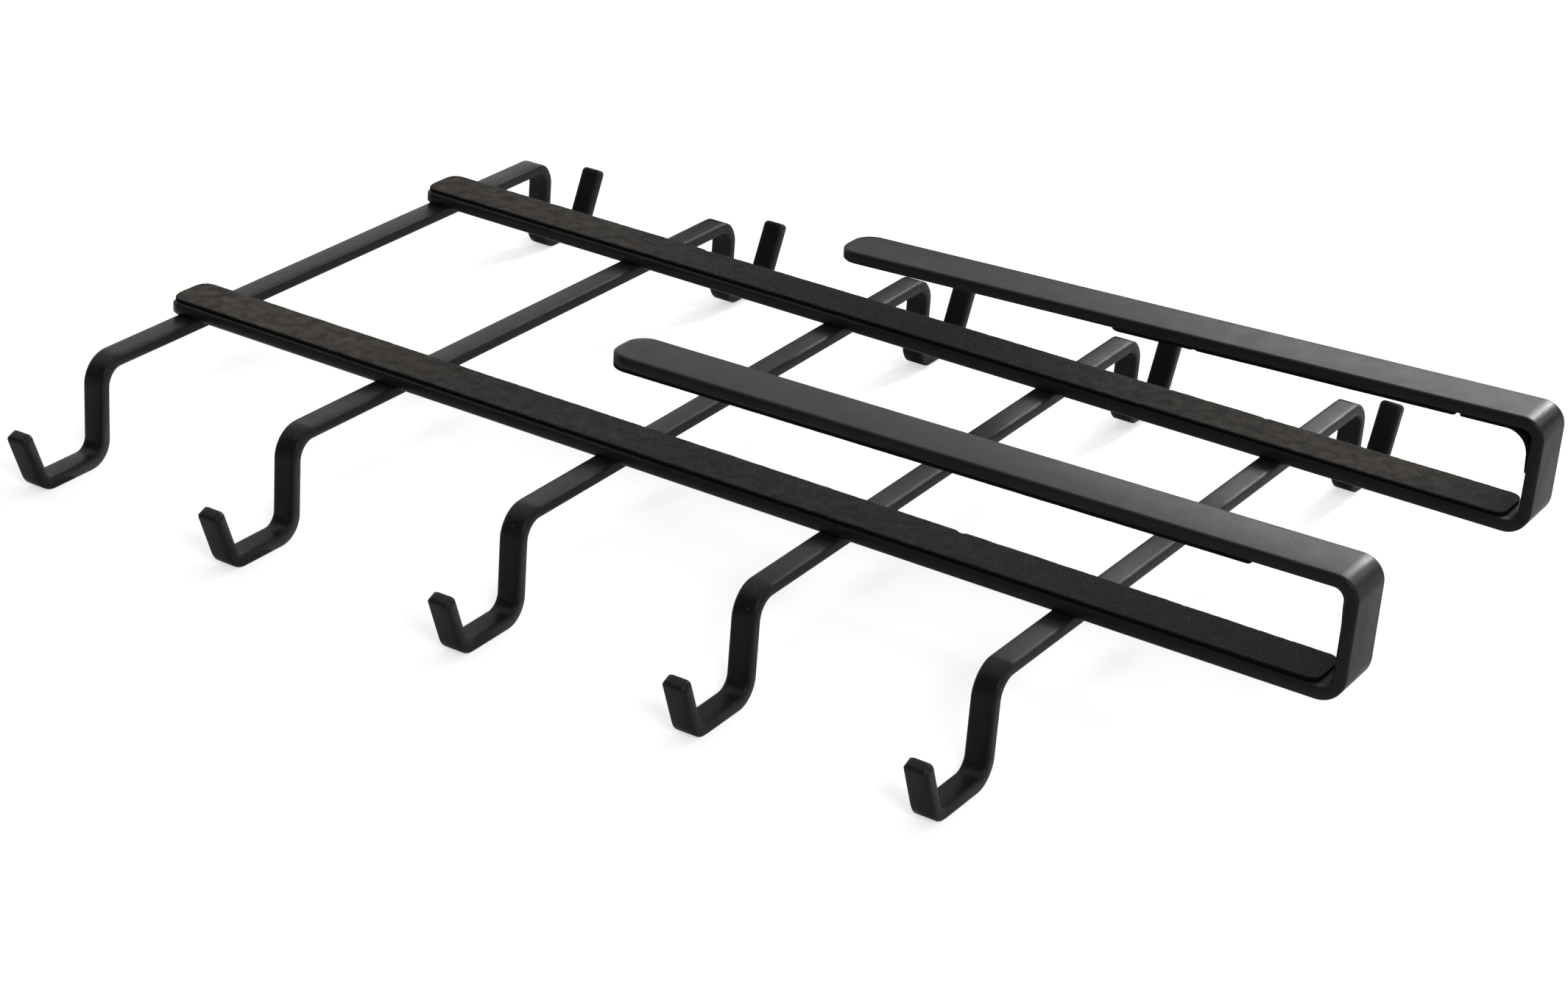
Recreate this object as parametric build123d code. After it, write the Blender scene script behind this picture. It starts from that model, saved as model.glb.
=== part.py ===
from build123d import *
import os
from math import cos, radians, sin, tan

# Under-shelf rack for cups. Two flat strips, each bent into a long hairpin, slide over
# a shelf board: the long leg lies below the board and the short leg above it. Five flat
# bars are welded across under the long legs, with the same hook bent at both ends.
# Soft pads line the hairpins where the board touches them.
# +X runs along the brackets to their closed end, +Y to the rear bracket, +Z up.
# The origin is below the middle of the rack, level with the undersides of the hooks.
# All sizes are in millimetres and degrees.

# Brackets; the bend radii are those of the outer side, the tip radii are seen from above,
# and the edge break is the leg of the small bevel that takes the sharpness off the strip
BRACKET_LENGTH = 310.0
REAR_EXTRA_LENGTH = 0.5
BRACKET_SPACING = 101.3
STRIP_WIDTH = 13.8
STRIP_THICKNESS = 3.0
STRIP_EDGE_BREAK = 0.42
SHELF_OPENING = 22.8
LOWER_BEND_RADIUS = 6.2
UPPER_BEND_RADIUS = 5.3
FRONT_LEG_REACH = 183.0
REAR_LEG_REACH = 184.2
LOWER_TIP_RADIUS = 3.0
UPPER_TIP_RADIUS = 5.3
FRONT_DROOP_ANGLE = 0.85
REAR_DROOP_ANGLE = 2.5

# Hook rails; each bend radius is that of its outer side, while the foot's reach and the
# lip's length are clear sizes inside the hook
RAIL_WIDTH = 5.8
RAIL_THICKNESS = 3.1
RAIL_EDGE_BREAK = 0.42
DROP_SPAN = 184.8
DROP_BEND_RADIUS = 7.2
HOOK_DEPTH = 26.6
FOOT_REACH = 18.0
FOOT_BEND_RADIUS = 6.2
LIP_LENGTH = 14.6
LIP_ANGLE = 23.0
LIP_TIP_RADIUS = 1.3

# Places of the rails: the first one's distance from the brackets' lower tips, the step
# to the next, and how far each stands off its step, off the centre and out of square,
# and how much less deep its rear hook is
FIRST_RAIL = 4.8
RAIL_STEP = 60.4
RAIL_SCATTER = (
    (0.0, 1.4, 0.6, 0.1),
    (0.4, -1.1, -0.2, 1.2),
    (2.0, -1.2, 0.7, 0.2),
    (1.5, 0.2, 0.5, 1.2),
    (0.0, 2.2, -0.6, 0.0),
)

# Pads of one soft sheet; reaches are measured along the upper leg from the web's outer
# face, and insets from the front edge of the strip to that of the pad. The front corner
# pad is pressed tight into its bend, and the rear one rounds it with a larger radius
PAD_WIDTH = 13.0
PAD_THICKNESS = 0.9
PAD_END_RADIUS = 3.0
PAD_CUT_RADIUS = 0.5
LOWER_PAD_INSET = 0.9
UPPER_PAD_INSET = 0.5
PAD_TO_BEND = 0.2
FRONT_PAD_OVERHANG = 0.3
REAR_PAD_REACH = 109.1
CORNER_PAD_WIDTH = 11.6
CORNER_PAD_GAP = 1.2
CORNER_PAD_DROP = 10.7
FRONT_CORNER_PAD_REACH = 23.3
FRONT_CORNER_PAD_INSET = 1.9
REAR_CORNER_PAD_REACH = 20.6
REAR_CORNER_PAD_INSET = 0.7
REAR_CORNER_PAD_RADIUS = 6.0

# Levels and places that follow from the sizes above
LOWER_TIP = -BRACKET_LENGTH / 2
FRONT_WEB = BRACKET_LENGTH / 2
REAR_WEB = FRONT_WEB + REAR_EXTRA_LENGTH
STRIP_UNDERSIDE = HOOK_DEPTH
STRIP_TOP = STRIP_UNDERSIDE + STRIP_THICKNESS
BRACKET_TOP = STRIP_TOP + SHELF_OPENING + STRIP_THICKNESS
FRONT_Y = -BRACKET_SPACING / 2
REAR_Y = BRACKET_SPACING / 2
TIGHT_PAD_RADIUS = UPPER_BEND_RADIUS - STRIP_THICKNESS


def bar_along(plane, face_line, thickness, width):
    """A flat bar of even thickness. One broad face follows the line, and the bar lies
    to the left of it. The places of the line's two ends come with the bar."""
    profile = make_face(offset(face_line, amount=thickness, side=Side.LEFT))
    bar = extrude(plane * profile, amount=width / 2, both=True)
    ends = [plane.from_local_coords(face_line @ place) for place in (0, 1)]
    return bar, ends


def end_face(bar, end_point):
    """The narrow face that closes a bar at one of its ends."""
    return min(bar.faces(), key=lambda face: (face.center() - end_point).length)


def round_in_plan(bar, end_point, radius):
    """Round a bar's end as seen on its broad face."""
    corners = end_face(bar, end_point).edges().sort_by(Edge.length)[:2]
    return fillet(corners, radius)


def break_edges(bar, leg):
    """Bevel the four long edges of a bar, and on round its ends."""
    return chamfer(bar.edges().sort_by(Edge.length)[-4:], leg)


def on_upper_leg(web, droop, reach, depth=0.0):
    """The point of a drooping upper leg at a reach from the web's outer face and a depth
    below the leg's top face, as x and z."""
    slope = radians(droop)
    x = web - reach * cos(slope) + depth * sin(slope)
    z = BRACKET_TOP - reach * sin(slope) - depth * cos(slope)
    return x, z


def bracket(y, web, droop, reach):
    """One strip bent into a hairpin: long lower leg, web and drooping upper leg."""
    underside = FilletPolyline(
        (LOWER_TIP, STRIP_UNDERSIDE),
        (web, STRIP_UNDERSIDE),
        (web, BRACKET_TOP),
        on_upper_leg(web, droop, reach),
        radius=[LOWER_BEND_RADIUS, UPPER_BEND_RADIUS],
    )
    bar, (lower_tip, upper_tip) = bar_along(
        Plane.XZ, underside, STRIP_THICKNESS, STRIP_WIDTH
    )
    bar = round_in_plan(bar, lower_tip, LOWER_TIP_RADIUS)
    bar = round_in_plan(bar, upper_tip, UPPER_TIP_RADIUS)
    return Pos(0, y, 0) * break_edges(bar, STRIP_EDGE_BREAK)


def hook_line(foot_level):
    """The upper side of one hook from the rail's top down the drop, along the foot and up
    the lip, as y and z before its bends are rounded."""
    lean = radians(LIP_ANGLE)
    drop_y = DROP_SPAN / 2
    lip_y = drop_y + FOOT_REACH
    foot_top = foot_level + RAIL_THICKNESS
    return [
        (drop_y, HOOK_DEPTH),
        (drop_y, foot_top),
        (lip_y, foot_top),
        (lip_y + LIP_LENGTH * sin(lean), foot_top + LIP_LENGTH * cos(lean)),
    ]


def hook_rail(x, y, skew, rear_foot_level):
    """One flat bar with a drop, a foot and an outward lip bent at each end."""
    rear_half = hook_line(rear_foot_level)
    front_half = [(-along, up) for along, up in hook_line(0.0)]
    inner_radius = FOOT_BEND_RADIUS - RAIL_THICKNESS
    rear_radii = [DROP_BEND_RADIUS, inner_radius, inner_radius]
    topside = FilletPolyline(
        *reversed(rear_half), *front_half, radius=rear_radii[::-1] + rear_radii
    )
    bar, lip_tips = bar_along(Plane.YZ, topside, RAIL_THICKNESS, RAIL_WIDTH)
    for lip_tip in lip_tips:
        bar = round_in_plan(bar, lip_tip, LIP_TIP_RADIUS)
    return Pos(x, y, 0) * Rot(0, 0, skew) * break_edges(bar, RAIL_EDGE_BREAK)


def pad_along(y, inset, glued_line, end_radii, width=PAD_WIDTH):
    """A pad glued along a line of a bracket's inner side, its ends rounded in plan."""
    pad, ends = bar_along(Plane.XZ, glued_line, PAD_THICKNESS, width)
    for end_point, radius in zip(ends, end_radii):
        pad = round_in_plan(pad, end_point, radius)
    return Pos(0, y + inset - (STRIP_WIDTH - width) / 2, 0) * pad


def lower_pad(y, web):
    """The pad on the lower leg, from the tip to the start of the bend."""
    tip = (LOWER_TIP, STRIP_TOP)
    bend = (web - LOWER_BEND_RADIUS - PAD_TO_BEND, STRIP_TOP)
    end_radii = (LOWER_TIP_RADIUS, PAD_END_RADIUS)
    return pad_along(y, LOWER_PAD_INSET, Line(tip, bend), end_radii)


def upper_pad(y, web, droop, corner_reach, reach, outer_radius):
    """The pad below the upper leg, from the gap at the corner pad out to a reach."""
    gap_end = on_upper_leg(web, droop, corner_reach + CORNER_PAD_GAP, STRIP_THICKNESS)
    outer_end = on_upper_leg(web, droop, reach, STRIP_THICKNESS)
    end_radii = (PAD_CUT_RADIUS, outer_radius)
    return pad_along(y, UPPER_PAD_INSET, Line(gap_end, outer_end), end_radii)


def corner_pad(y, web, droop, reach, inset, radius):
    """The short pad that runs up the web, round the upper inside corner and out."""
    slope = radians(droop)
    web_inside = web - STRIP_THICKNESS
    corner_z = BRACKET_TOP - STRIP_THICKNESS * (1 / cos(slope) + tan(slope))
    glued_line = FilletPolyline(
        (web_inside, corner_z - CORNER_PAD_DROP),
        (web_inside, corner_z),
        on_upper_leg(web, droop, reach, STRIP_THICKNESS),
        radius=radius,
    )
    end_radii = (PAD_CUT_RADIUS, PAD_CUT_RADIUS)
    return pad_along(y, inset, glued_line, end_radii, CORNER_PAD_WIDTH)


front = (FRONT_Y, FRONT_WEB, FRONT_DROOP_ANGLE)
rear = (REAR_Y, REAR_WEB, REAR_DROOP_ANGLE)
pieces = {
    "front_bracket": bracket(*front, FRONT_LEG_REACH),
    "rear_bracket": bracket(*rear, REAR_LEG_REACH),
    "front_lower_pad": lower_pad(FRONT_Y, FRONT_WEB),
    "rear_lower_pad": lower_pad(REAR_Y, REAR_WEB),
    "front_upper_pad": upper_pad(
        *front, FRONT_CORNER_PAD_REACH, FRONT_LEG_REACH + FRONT_PAD_OVERHANG, UPPER_TIP_RADIUS
    ),
    "rear_upper_pad": upper_pad(*rear, REAR_CORNER_PAD_REACH, REAR_PAD_REACH, PAD_END_RADIUS),
    "front_corner_pad": corner_pad(
        *front, FRONT_CORNER_PAD_REACH, FRONT_CORNER_PAD_INSET, TIGHT_PAD_RADIUS
    ),
    "rear_corner_pad": corner_pad(
        *rear, REAR_CORNER_PAD_REACH, REAR_CORNER_PAD_INSET, REAR_CORNER_PAD_RADIUS
    ),
}
for index, (along, across, skew, rear_foot_level) in enumerate(RAIL_SCATTER):
    station = LOWER_TIP + FIRST_RAIL + index * RAIL_STEP + along
    pieces[f"hook_rail_{index + 1}"] = hook_rail(station, across, skew, rear_foot_level)

os.makedirs("parts", exist_ok=True)
for name, solid in pieces.items():
    export_step(solid, f"parts/{name}.step")
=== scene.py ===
from math import atan2, cos, hypot, pi, radians, sin, sqrt

import bpy
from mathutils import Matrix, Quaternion, Vector, noise


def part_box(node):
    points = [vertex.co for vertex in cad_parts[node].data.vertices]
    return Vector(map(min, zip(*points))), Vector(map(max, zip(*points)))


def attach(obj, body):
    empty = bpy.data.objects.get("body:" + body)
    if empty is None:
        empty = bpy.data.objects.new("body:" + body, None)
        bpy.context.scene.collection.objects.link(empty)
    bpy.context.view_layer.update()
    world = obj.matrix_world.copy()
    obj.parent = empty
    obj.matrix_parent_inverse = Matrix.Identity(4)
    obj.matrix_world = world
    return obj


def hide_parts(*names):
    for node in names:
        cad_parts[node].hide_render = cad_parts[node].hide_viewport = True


# Looks of a black under-shelf cup rack: powder-coated steel bars and strips with eased
# rims, and six strips of dark foam inside the two hairpin brackets.
# The frame is in metres. Sizes below are in millimetres and angles in degrees.
MM = 0.001

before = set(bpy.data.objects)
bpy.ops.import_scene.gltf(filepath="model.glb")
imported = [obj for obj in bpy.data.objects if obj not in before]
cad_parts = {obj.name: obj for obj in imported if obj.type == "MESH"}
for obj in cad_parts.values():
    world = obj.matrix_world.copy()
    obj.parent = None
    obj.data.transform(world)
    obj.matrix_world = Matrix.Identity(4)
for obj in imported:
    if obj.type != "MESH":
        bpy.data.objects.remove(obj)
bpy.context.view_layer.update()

# Powder coat: how far in from a rim it rounds the steel off, as seen in its shading, and
# its orange peel. Its index of refraction was matched to the photo, whose studio seems to
# be darker than this one, so it is below a real coat's 1.5. Points of the steel's mesh
# closer together than the last size are joined
RIM_SOFTNESS = 1.3
RIM_SAMPLES = 6
PEEL_SIZE = 0.38
PEEL_DEPTH = 0.035
COAT_IOR = 1.24
SAME_POINT = 0.001

# Scattered grains of dust: the share of their radius that lies inside their soft rim
GRAIN_CORE = 0.4

# Foam as a material: its grain, drawn coarser than the real one because a finer one doesn't
# show in a render, its open cells and its dullness
GRAIN_SIZE = 0.65
CELL_SIZE = 0.35
CELL_DEPTH = 0.06
FOAM_ROUGHNESS = 0.95
FOAM_IOR = 1.25

# Foam strips: how they were die cut and how they lie in their bends. The rim is given as
# (inset from the cut side, share of the thickness) from the glue up, and the thickness of a
# corner strip as (distance from its end on the web, thickness)
FOAM_THICKNESS = 0.9
FOAM_END_RADIUS = 3.0
FOAM_CUT_RADIUS = 0.5
FRONT_LEG_TIP_RADIUS = 5.3
FRONT_CORNER_RADIUS = 3.4
REAR_CORNER_RADIUS = 6.0
CORNER_THICKNESS = ((0.0, 0.5), (6.0, FOAM_THICKNESS))
GLUE_GAP = 0.03
FOAM_RIM = 0.3
FOAM_RIM_PROFILE = ((0.05, 0.0), (0.0, 0.35), (0.02, 0.7), (0.5 * FOAM_RIM, 0.93))
FOAM_MESH_STEP = 0.4
FOAM_COLUMNS = 32

# The foam's skin: its pores, a fractal noise, and its lumps. They start half-way up, and a
# strip that is pressed flat shows them less
PORE_SIZE = 0.7
PORE_DEPTH = 0.05
PORE_DECAY, PORE_GROWTH, PORE_LAYERS = 0.8, 2.0, 3
LUMP_SIZE = 9.0
LUMP_HEIGHT = 0.05
SKIN_FROM = 0.5
PRESSED_RELIEF = 0.4

# How a cut side wavers, and how it is pressed down at a nick. The shift makes a strip's two
# sides waver apart. Each fades towards the strip's middle with a power of the distance
CUT_WANDER_SIZE = 2.6
CUT_WANDER = 0.1
CUT_WANDER_SHIFT = 40.0
NICK_PRESSED = 0.5
WANDER_FADE, NICK_FADE, PRESSED_FADE = 4, 8, 12

# How far a strip's skin is painted near black as a cut side, by the share of its thickness
# from the glue: painted shade for the shadow line along the strip's glued edge
CUT_SIDE_SHADE = ((0.0, 1.0), (0.8, 1.0), (1.0, 0.0))

# Wear of the strips, and painted light on them. The painted light is (distance from the leg's
# tip, how pale): a pale film in stretches along each lower strip that stands for the light and
# shade falling on it. A nick is (distance along the strip, side, length, depth)
FRONT_PAINTED_LIGHT = (
    (0.0, 1.0), (45.0, 0.9), (90.0, 0.4), (180.0, 0.4), (230.0, 0.25), (304.0, 0.0))
REAR_PAINTED_LIGHT = (
    (0.0, 0.8), (55.0, 0.65), (105.0, 0.15), (160.0, 0.1), (205.0, 0.6), (270.0, 1.0),
    (304.0, 0.3))
FRONT_NICKS = ((213.4, 1, 2.4, 0.5),)
REAR_NICKS = ((81.3, 1, 2.0, 0.4), (213.3, 1, 2.2, 0.5), (239.0, 1, 1.8, 0.3))
REAR_UPPER_NICKS = ((64.9, -1, 1.6, 0.4),)

# The viewer's place and the direction of view; the azimuth turns from +Y towards -X. The
# camera sees what lies between two distances
CAMERA_PLACE = (369.0, -658.1, 362.4)
CAMERA_AZIMUTH = 30.09
CAMERA_ELEVATION = 25.38
CAMERA_ROLL = 4.53
CAMERA_LENS = 80.58
CAMERA_SEES = (10.0, 20000.0)
SENSOR_WIDTH = 36.0

# Soft lights: azimuth from +Y towards +X and elevation as seen from the place that they
# are turned to, width, height and the share of full light that each gives there
LIT_PLACE = (60.0, 0.0, 40.0)
LIGHT_DISTANCE = 1350.0
LIGHTS = {
    "back_light": (-4.0, 26.0, 190.0, 190.0, 0.13),
    "left_light": (-15.0, 23.0, 400.0, 250.0, 0.06),
    "glint_light": (4.5, 26.5, 130.0, 130.0, 0.3),
    "rim_light": (31.0, 29.0, 250.0, 250.0, 0.06),
    "edge_light": (138.0, 34.0, 400.0, 400.0, 0.4),
}

# White surroundings: how bright they light the rack, and how bright they are seen
SKY_LEVEL = 0.5
WHITE_LEVEL = 1.0
FLOOR_WIDTH = 8000.0
FLOOR_COLOUR = "#deddda"
FLOOR_SEEN_GLOW = 0.62

# The floor's mirrored glow lies in a band along X under the front hooks: the band's middle
# and half its width in Y, and its (x, glow) at both ends
GLOW_MIDDLE = -75.0
GLOW_HALF_WIDTH = 25.0
GLOW_LEFT = (-150.0, 0.85)
GLOW_RIGHT = (50.0, 0.05)

# Black cards: place, turn about Z, width, height, and whether they keep the surroundings'
# light off. One stands for the unlit room in front of the rack, one is mirrored in the
# rear bend and one inside both lower bends
CARD_COLOUR = "#050505"
CARDS = {
    "room_card": ((0.0, -1500.0, 1500.0), 0.0, 6000.0, 3000.0, True),
    "bend_card": ((284.0, 314.0, 118.0), -26.0, 110.0, 90.0, False),
    "low_card": ((-60.0, 290.0, 50.0), 31.0, 300.0, 100.0, False),
}

# Places of a mix node's factor and colour sockets
FACTOR, COLOUR_A, COLOUR_B, COLOUR_OUT = 0, 6, 7, 2


def linear(hex_colour):
    """An sRGB hex colour as linear red, green, blue and full alpha."""
    shares = [int(hex_colour[i:i + 2], 16) / 255 for i in (1, 3, 5)]
    levels = (s / 12.92 if s <= 0.04045 else ((s + 0.055) / 1.055) ** 2.4 for s in shares)
    return (*levels, 1.0)


def per_metre(size):
    """The scale of a pattern whose cells are this many millimetres wide."""
    return 1 / (size * MM)


def add_node(tree, kind, inputs=None, **settings):
    """Add a node with its settings; an input takes a value or another node's output."""
    node = tree.nodes.new(kind)
    for name, value in settings.items():
        setattr(node, name, value)
    for socket, value in (inputs or {}).items():
        if isinstance(value, bpy.types.NodeSocket):
            tree.links.new(value, node.inputs[socket])
        else:
            node.inputs[socket].default_value = value
    return node


def new_material(name):
    """An empty material, its node tree and the place of each point on the object."""
    material = bpy.data.materials.new(name)
    material.use_nodes = True
    tree = material.node_tree
    tree.nodes.clear()
    return material, tree, add_node(tree, "ShaderNodeTexCoord").outputs["Object"]


def mottle(tree, place, size, detail, low, high, to_low=0.0, to_high=1.0):
    """Cloudy values: a noise of one size, stretched from its middle range to a new one."""
    cloud = add_node(tree, "ShaderNodeTexNoise", {
        "Vector": place, "Scale": per_metre(size), "Detail": detail})
    return add_node(tree, "ShaderNodeMapRange", {
        "Value": cloud.outputs["Fac"], "From Min": low, "From Max": high,
        "To Min": to_low, "To Max": to_high}).outputs["Result"]


def specks(tree, place, spacing, radius):
    """One inside scattered grains of a radius and zero outside, soft at their rims."""
    cells = add_node(tree, "ShaderNodeTexVoronoi", {
        "Vector": place, "Scale": per_metre(spacing)})
    return add_node(tree, "ShaderNodeMapRange", {
        "Value": cells.outputs["Distance"], "From Min": radius / spacing,
        "From Max": GRAIN_CORE * radius / spacing}).outputs["Result"]


def finish_surface(tree, shader_inputs):
    """End a material with one shader on its surface."""
    shader = add_node(tree, "ShaderNodeBsdfPrincipled", shader_inputs)
    add_node(tree, "ShaderNodeOutputMaterial", {"Surface": shader.outputs["BSDF"]})


def black_powder_coat():
    """Polyester powder baked on bent steel: a satin skin, nearly black seen square on and
    grey at a slant, whose fine orange peel frays the edges of a reflected light."""
    material, tree, place = new_material("black_powder_coat")
    cloudy = add_node(tree, "ShaderNodeMix", {
        FACTOR: mottle(tree, place, size=14.0, detail=3, low=0.35, high=0.65),
        COLOUR_A: linear("#18181a"), COLOUR_B: linear("#1d1d1e")}, data_type="RGBA")
    dust_and_painted_light = add_node(tree, "ShaderNodeMix", {
        FACTOR: specks(tree, place, spacing=3.4, radius=0.13),
        COLOUR_A: cloudy.outputs[COLOUR_OUT], COLOUR_B: linear("#8c8983")}, data_type="RGBA")
    rims = add_node(tree, "ShaderNodeBevel", {"Radius": RIM_SOFTNESS * MM}, samples=RIM_SAMPLES)
    peel = add_node(tree, "ShaderNodeTexNoise", {
        "Vector": place, "Scale": per_metre(PEEL_SIZE), "Detail": 2, "Roughness": 0.6})
    skin = add_node(tree, "ShaderNodeBump", {
        "Height": peel.outputs["Fac"], "Strength": 0.8, "Distance": PEEL_DEPTH * MM,
        "Normal": rims.outputs["Normal"]})
    finish_surface(tree, {
        "Base Color": dust_and_painted_light.outputs[COLOUR_OUT],
        "Roughness": mottle(tree, place, size=5.0, detail=4, low=0.3, high=0.7,
                            to_low=0.29, to_high=0.37),
        "IOR": COAT_IOR,
        "Normal": skin.outputs["Normal"],
    })
    return material


def black_foam():
    """Die-cut rubber foam: dull brown-black and full of open pores, with paler crumbs on it. In
    stretches it is painted paler, for the light and shade falling on the strip, and its cut
    sides are painted near black for the shadow line along its edge: painted light and shade."""
    material, tree, place = new_material("black_foam")
    body = add_node(tree, "ShaderNodeMix", {
        FACTOR: mottle(tree, place, size=GRAIN_SIZE, detail=6, low=0.43, high=0.59),
        COLOUR_A: linear("#060505"), COLOUR_B: linear("#24211f")}, data_type="RGBA")
    patchy = add_node(tree, "ShaderNodeMix", {
        FACTOR: mottle(tree, place, size=7.0, detail=4, low=0.35, high=0.65),
        COLOUR_A: body.outputs[COLOUR_OUT], COLOUR_B: linear("#151413")}, data_type="RGBA")
    # A pale film in stretches along each lower strip: painted light and shade
    painted_light_level = add_node(tree, "ShaderNodeAttribute", attribute_name="painted_light")
    painted_light_share = add_node(tree, "ShaderNodeMath", {
        0: painted_light_level.outputs["Fac"],
        1: mottle(tree, place, size=3.0, detail=8, low=0.32, high=0.68,
                  to_low=0.2, to_high=0.68)}, operation="MULTIPLY")
    # The pale colour that the painted light mixes in
    dust_and_painted_light = add_node(tree, "ShaderNodeMix", {
        FACTOR: painted_light_share.outputs[0],
        COLOUR_A: patchy.outputs[COLOUR_OUT], COLOUR_B: linear("#5e5954")}, data_type="RGBA")
    crumbed = add_node(tree, "ShaderNodeMix", {
        FACTOR: specks(tree, place, spacing=1.0, radius=0.14),
        COLOUR_A: dust_and_painted_light.outputs[COLOUR_OUT], COLOUR_B: linear("#7a736b")}, data_type="RGBA")
    # Near-black cut sides: painted shade for the shadow line along each strip's edge
    side = add_node(tree, "ShaderNodeAttribute", attribute_name="cut")
    shaded = add_node(tree, "ShaderNodeMix", {
        FACTOR: side.outputs["Fac"],
        COLOUR_A: crumbed.outputs[COLOUR_OUT], COLOUR_B: linear("#030202")}, data_type="RGBA")
    cells = add_node(tree, "ShaderNodeTexNoise", {
        "Vector": place, "Scale": per_metre(CELL_SIZE), "Detail": 5, "Roughness": 0.7})
    skin = add_node(tree, "ShaderNodeBump", {
        "Height": cells.outputs["Fac"], "Strength": 0.8, "Distance": CELL_DEPTH * MM})
    finish_surface(tree, {
        "Base Color": shaded.outputs[COLOUR_OUT],
        "Roughness": FOAM_ROUGHNESS,
        "IOR": FOAM_IOR,
        "Normal": skin.outputs["Normal"],
    })
    return material


def background_rays(tree):
    """One for the rays that show the background, straight or mirrored, and zero for the
    rays that carry light from it to the rack."""
    rays = add_node(tree, "ShaderNodeLightPath")
    seen = add_node(tree, "ShaderNodeMath", {
        0: rays.outputs["Is Camera Ray"], 1: rays.outputs["Is Glossy Ray"]},
        operation="MAXIMUM")
    return add_node(tree, "ShaderNodeMath", {
        0: seen.outputs[0], 1: rays.outputs["Is Transmission Ray"]},
        operation="MAXIMUM").outputs[0]


def white_floor():
    """Matt white studio floor, which glows enough to look white and keeps soft shadows. It
    is mirrored brightest in the sides of the front hooks."""
    material, tree, place = new_material("white_floor")
    matt = add_node(tree, "ShaderNodeBsdfDiffuse", {"Color": linear(FLOOR_COLOUR)})
    spot = add_node(tree, "ShaderNodeSeparateXYZ", {"Vector": place})
    band = add_node(tree, "ShaderNodeMath", {
        0: spot.outputs["Y"], 1: GLOW_MIDDLE * MM, 2: GLOW_HALF_WIDTH * MM},
        operation="COMPARE")
    (left, left_glow), (right, right_glow) = GLOW_LEFT, GLOW_RIGHT
    along = add_node(tree, "ShaderNodeMapRange", {
        "Value": spot.outputs["X"], "From Min": left * MM, "From Max": right * MM,
        "To Min": left_glow, "To Max": right_glow})
    mirrored = add_node(tree, "ShaderNodeMath", {
        0: band.outputs[0], 1: along.outputs["Result"]}, operation="MULTIPLY")
    rays = add_node(tree, "ShaderNodeLightPath")
    level = add_node(tree, "ShaderNodeMapRange", {
        "Value": rays.outputs["Is Camera Ray"], "To Min": mirrored.outputs[0],
        "To Max": FLOOR_SEEN_GLOW})
    glow = add_node(tree, "ShaderNodeMath", {
        0: background_rays(tree), 1: level.outputs["Result"]}, operation="MULTIPLY")
    light = add_node(tree, "ShaderNodeEmission", {"Strength": glow.outputs[0]})
    both = add_node(tree, "ShaderNodeAddShader", {
        0: matt.outputs["BSDF"], 1: light.outputs["Emission"]})
    add_node(tree, "ShaderNodeOutputMaterial", {"Surface": both.outputs["Shader"]})
    return material


def black_card(name, place, turn, width, height, keeps_light_off):
    """An upright black card, which shows only mirrored in the steel. It may also keep the
    surroundings' light off."""
    bpy.ops.mesh.primitive_plane_add(size=MM, location=Vector(place) * MM,
                                     rotation=(pi / 2, 0.0, radians(turn)))
    card = bpy.context.object
    card.name = name
    card.scale = (width, height, 1.0)
    material, tree, _ = new_material(name)
    matt = add_node(tree, "ShaderNodeBsdfDiffuse", {"Color": linear(CARD_COLOUR)})
    add_node(tree, "ShaderNodeOutputMaterial", {"Surface": matt.outputs["BSDF"]})
    card.data.materials.append(material)
    card.visible_camera = False
    card.visible_shadow = False
    card.visible_diffuse = keeps_light_off


def smooth_shading():
    """A node group that shades every face of a mesh smooth."""
    group = bpy.data.node_groups.new("shade_smooth", "GeometryNodeTree")
    for way in ("INPUT", "OUTPUT"):
        group.interface.new_socket("Geometry", in_out=way, socket_type="NodeSocketGeometry")
    start = add_node(group, "NodeGroupInput")
    smooth = add_node(group, "GeometryNodeSetShadeSmooth", {
        "Geometry": start.outputs["Geometry"]})
    add_node(group, "NodeGroupOutput", {"Geometry": smooth.outputs["Geometry"]})
    return group


def soften(piece, shading):
    """Join a steel piece's faces and shade it so that bends are smooth and flats stay flat."""
    weld = piece.modifiers.new("joined_faces", "WELD")
    weld.merge_threshold = SAME_POINT * MM
    smooth = piece.modifiers.new("shade_smooth", "NODES")
    smooth.node_group = shading
    normals = piece.modifiers.new("flat_faces", "WEIGHTED_NORMAL")
    normals.keep_sharp = False


def finish_steel():
    """Give the brackets and rails their soft shading and their coat."""
    coat, shading = black_powder_coat(), smooth_shading()
    for name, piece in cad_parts.items():
        if name.endswith("_pad"):
            continue
        soften(piece, shading)
        for slot in piece.material_slots:
            slot.link = "OBJECT"
            slot.material = coat


def box_of(node):
    """A node's lowest and highest corners, in millimetres."""
    return [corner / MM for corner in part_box(node)]


def glued_line(start, heading, first, radius=0.0, turn=0.0, last=0.0):
    """The length of a line of straight, arc and straight, and a function that gives the
    place and the outward side at any distance along it, each as x and z. The strip lies
    to the left of the line, and so does the arc's centre. Angles are in radians."""
    def ahead(angle):
        return Vector((cos(angle), sin(angle)))

    def at(distance):
        bent = min(max(distance - first, 0.0), radius * turn)
        angle = heading + (bent / radius if radius else 0.0)
        side, side_now = ahead(heading + pi / 2), ahead(angle + pi / 2)
        place = Vector(start) + ahead(heading) * min(distance, first)
        place += radius * (side - side_now) + ahead(angle) * max(distance - first - bent, 0.0)
        return place, side_now

    return first + radius * turn + last, at


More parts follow.
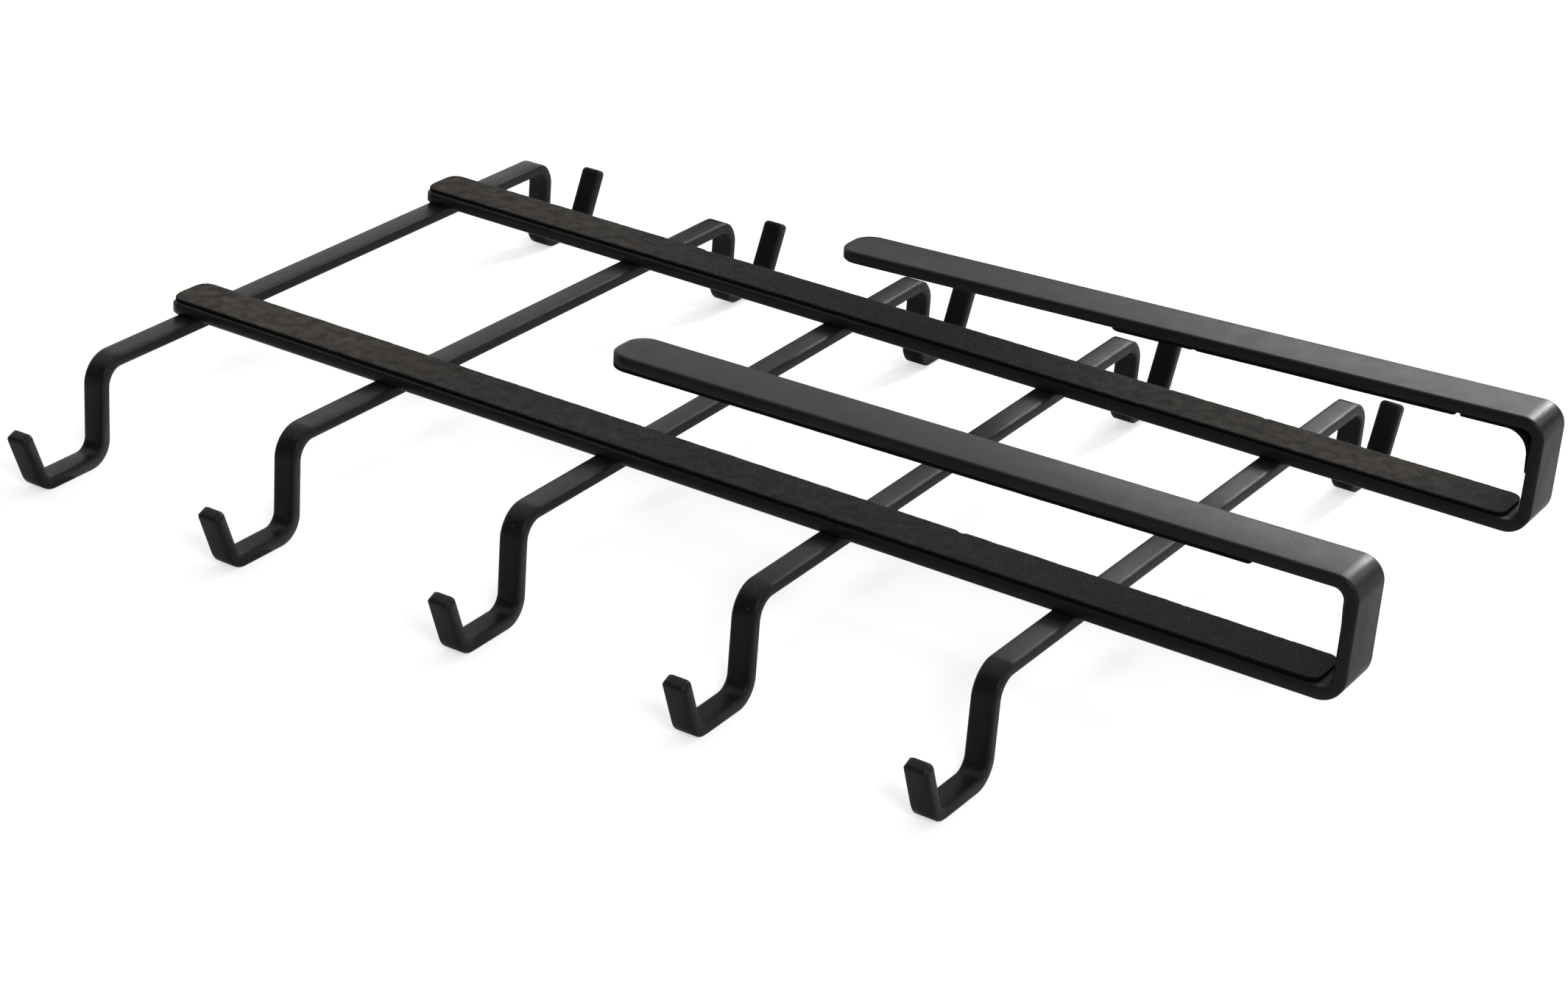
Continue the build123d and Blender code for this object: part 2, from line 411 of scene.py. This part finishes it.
def lower_line(node):
    """The glued line of a strip on a lower leg, from the leg's tip to its bend."""
    low, high = box_of(node)
    return glued_line((low.x, low.z), 0.0, high.x - low.x)


def droop_of(node):
    """How far an upper leg leans below level, in radians, taken from the strip under it."""
    low, high = box_of(node)
    return atan2(high.z - low.z - FOAM_THICKNESS, high.x - low.x)


def upper_line(node):
    """The glued line of a strip under an upper leg, from the web towards the leg's tip."""
    low, high = box_of(node)
    droop = droop_of(node)
    length = hypot(high.x - low.x, high.z - low.z - FOAM_THICKNESS)
    return glued_line((high.x - FOAM_THICKNESS * sin(droop), high.z), pi + droop, length)


def corner_line(node, droop, radius):
    """The glued line of a strip that runs up the web, round the corner and out."""
    low, high = box_of(node)
    turn = pi / 2 + droop
    rise = high.z - radius - low.z
    out = high.x - radius - low.x - radius * sin(droop)
    return glued_line((high.x, low.z), pi / 2, rise, radius, turn, out / cos(droop))


def half_width(distance, length, width, radii):
    """Half of a strip's width at a distance along it, less near its rounded ends."""
    half = width / 2
    for from_end, radius in ((distance, radii[0]), (length - distance, radii[1])):
        if from_end < radius:
            bow = sqrt(max(radius ** 2 - (radius - from_end) ** 2, 0.0))
            half = min(half, width / 2 - radius + bow)
    return half


def foam_ring(half):
    """One cut through a strip as (across, up) points, from one lower edge over the top to
    the other; up is a share of the thickness."""
    rim = [(half - inset, up) for inset, up in FOAM_RIM_PROFILE]
    flat = half - FOAM_RIM
    top = [(flat * (1 - 2 * k / FOAM_COLUMNS), 1.0) for k in range(FOAM_COLUMNS + 1)]
    return rim + top + [(-across, up) for across, up in reversed(rim)]


def foam_height(point):
    """How far the foam's skin stands above or below its even face at a point."""
    pores = noise.fractal(point / PORE_SIZE, PORE_DECAY, PORE_GROWTH, PORE_LAYERS)
    lumps = noise.noise(point / LUMP_SIZE)
    return PORE_DEPTH * pores + LUMP_HEIGHT * lumps


def level_at(stops, distance):
    """The value at a distance along a line of (distance, value) stops."""
    for (start, low), (end, high) in zip(stops, stops[1:]):
        if distance < end:
            return low + (high - low) * (distance - start) / (end - start)
    return stops[-1][1]


def bite_at(nicks, distance, sign):
    """How deep a strip's edge is nicked at a distance along it, on one side."""
    depths = [depth * (1 - (2 * (distance - where) / span) ** 2)
              for where, side, span, depth in nicks if side == sign]
    return max([0.0, *depths])


def foam_vertex(place, side, middle, across, up, edge, thick, relief, wander, bite):
    """A point of a strip's skin: moved by the cut's wander and nicks and by the pores."""
    sign = 1 if across > 0 else -1
    y = middle + across + sign * (wander - bite * edge ** NICK_FADE)
    rise = GLUE_GAP + up * (thick - GLUE_GAP)
    if up > SKIN_FROM:
        rise += relief * foam_height(Vector((place.x, y, place.y)))
        rise -= NICK_PRESSED * FOAM_THICKNESS * min(bite, 1.0) * edge ** PRESSED_FADE
    return Vector((place.x + side.x * rise, y, place.y + side.y * rise)) * MM


def foam_faces(rings, around):
    """The faces that join a strip's rings of points and close both its ends."""
    faces = []
    for ring in range(rings):
        for k in range(around):
            a, b = ring * around + k, ring * around + (k + 1) % around
            faces.append((a, b, b + around, a + around))
    for first, flip in ((0, False), (rings * around, True)):
        for k in range(around // 2 - 1):
            quad = (first + k, first + around - 1 - k, first + around - 2 - k, first + k + 1)
            faces.append(quad if flip else quad[::-1])
    return faces


def foam_strip(node, line, radii, material, relief=1.0, nicks=(), painted_light=((0.0, 0.0),),
               thickness=((0.0, FOAM_THICKNESS),)):
    """A cut strip of foam glued along a line, with a porous face and a wavering cut."""
    low, high = box_of(node)
    middle, width = (low.y + high.y) / 2, high.y - low.y
    length, at = line
    rings = max(2, round(length / FOAM_MESH_STEP))
    vertices, dust_and_painted_light, cut = [], [], []
    for ring in range(rings + 1):
        distance = length * ring / rings
        place, side = at(distance)
        half = half_width(distance, length, width, radii)
        thick = level_at(thickness, distance)
        for across, up in foam_ring(half):
            edge = abs(across) / half
            sign = 1 if across > 0 else -1
            seed = Vector((distance, sign * CUT_WANDER_SHIFT, low.x)) / CUT_WANDER_SIZE
            wander = relief * CUT_WANDER * noise.noise(seed) * edge ** WANDER_FADE
            bite = bite_at(nicks, distance, sign)
            vertices.append(foam_vertex(place, side, middle, across, up, edge, thick, relief,
                                        wander, bite))
            # How pale the painted light makes the strip at this distance
            dust_and_painted_light.append(level_at(painted_light, distance))
            # Whether this point lies on a cut side, which is painted with shade
            cut.append(level_at(CUT_SIDE_SHADE, up))
    mesh = bpy.data.meshes.new(node)
    mesh.from_pydata(vertices, [], foam_faces(rings, len(vertices) // (rings + 1)))
    for name, values in (("painted_light", dust_and_painted_light), ("cut", cut)):
        mesh.attributes.new(name, "FLOAT", "POINT").data.foreach_set("value", values)
    mesh.shade_smooth()
    mesh.materials.append(material)
    piece = bpy.data.objects.new(node.replace("pad", "foam"), mesh)
    bpy.context.scene.collection.objects.link(piece)
    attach(piece, "root")
    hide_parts(node)


def lay_foam():
    """Glue the six foam strips into the two brackets."""
    foam = black_foam()
    round_ends = (FOAM_END_RADIUS, FOAM_END_RADIUS)
    square_ends = (FOAM_CUT_RADIUS, FOAM_CUT_RADIUS)
    for node, nicks, painted_light in (("front_lower_pad", FRONT_NICKS, FRONT_PAINTED_LIGHT),
                              ("rear_lower_pad", REAR_NICKS, REAR_PAINTED_LIGHT)):
        foam_strip(node, lower_line(node), round_ends, foam, nicks=nicks, painted_light=painted_light)
    for node, end_radius, nicks in (("front_upper_pad", FRONT_LEG_TIP_RADIUS, ()),
                                    ("rear_upper_pad", FOAM_END_RADIUS, REAR_UPPER_NICKS)):
        foam_strip(node, upper_line(node), (FOAM_CUT_RADIUS, end_radius), foam,
                   PRESSED_RELIEF, nicks)
    for side, radius in (("front", FRONT_CORNER_RADIUS), ("rear", REAR_CORNER_RADIUS)):
        node = f"{side}_corner_pad"
        line = corner_line(node, droop_of(f"{side}_upper_pad"), radius)
        foam_strip(node, line, square_ends, foam, PRESSED_RELIEF, thickness=CORNER_THICKNESS)


def soft_light(name, azimuth, elevation, width, height, share):
    """A lamp panel turned to the rack. A surface facing it at full share would render at
    the colour that it is written in."""
    lamp = bpy.data.lights.new(name, "AREA")
    lamp.shape = "RECTANGLE"
    lamp.size, lamp.size_y = width * MM, height * MM
    lamp.energy = share * (pi * LIGHT_DISTANCE * MM) ** 2
    panel = bpy.data.objects.new(name, lamp)
    bpy.context.scene.collection.objects.link(panel)
    turn, lift = radians(azimuth), radians(elevation)
    direction = Vector((sin(turn) * cos(lift), cos(turn) * cos(lift), sin(lift)))
    panel.location = (Vector(LIT_PLACE) + direction * LIGHT_DISTANCE) * MM
    panel.rotation_euler = direction.to_track_quat("Z", "Y").to_euler()
    panel.visible_camera = False


def white_surroundings():
    """A white world, darker as a light than it is seen."""
    world = bpy.data.worlds.new("white_surroundings")
    world.use_nodes = True
    tree = world.node_tree
    tree.nodes.clear()
    level = add_node(tree, "ShaderNodeMapRange", {
        "Value": background_rays(tree), "To Min": SKY_LEVEL, "To Max": WHITE_LEVEL})
    sky = add_node(tree, "ShaderNodeBackground", {
        "Color": linear("#ffffff"), "Strength": level.outputs["Result"]})
    add_node(tree, "ShaderNodeOutputWorld", {"Surface": sky.outputs["Background"]})
    return world


def studio():
    """White floor and surroundings, three black cards and five soft lights."""
    bpy.ops.mesh.primitive_plane_add(size=FLOOR_WIDTH * MM)
    floor = bpy.context.object
    floor.name = "studio_floor"
    floor.data.materials.append(white_floor())
    for name, card in CARDS.items():
        black_card(name, *card)
    bpy.context.scene.world = white_surroundings()
    for name, light in LIGHTS.items():
        soft_light(name, *light)
    bpy.context.scene.view_settings.view_transform = "Standard"


def photographer():
    """The camera, at the place and with the lens that give the photograph's view."""
    camera = bpy.data.cameras.new("camera")
    camera.lens = CAMERA_LENS
    camera.sensor_width = SENSOR_WIDTH
    camera.clip_start, camera.clip_end = [distance * MM for distance in CAMERA_SEES]
    viewer = bpy.data.objects.new("camera", camera)
    bpy.context.scene.collection.objects.link(viewer)
    azimuth, elevation = radians(CAMERA_AZIMUTH), radians(CAMERA_ELEVATION)
    forward = Vector((-sin(azimuth) * cos(elevation), cos(azimuth) * cos(elevation),
                      -sin(elevation)))
    level = forward.to_track_quat("-Z", "Y")
    viewer.rotation_mode = "QUATERNION"
    viewer.rotation_quaternion = level @ Quaternion((0, 0, 1), radians(CAMERA_ROLL))
    viewer.location = Vector(CAMERA_PLACE) * MM
    bpy.context.scene.camera = viewer


finish_steel()
lay_foam()
studio()
photographer()
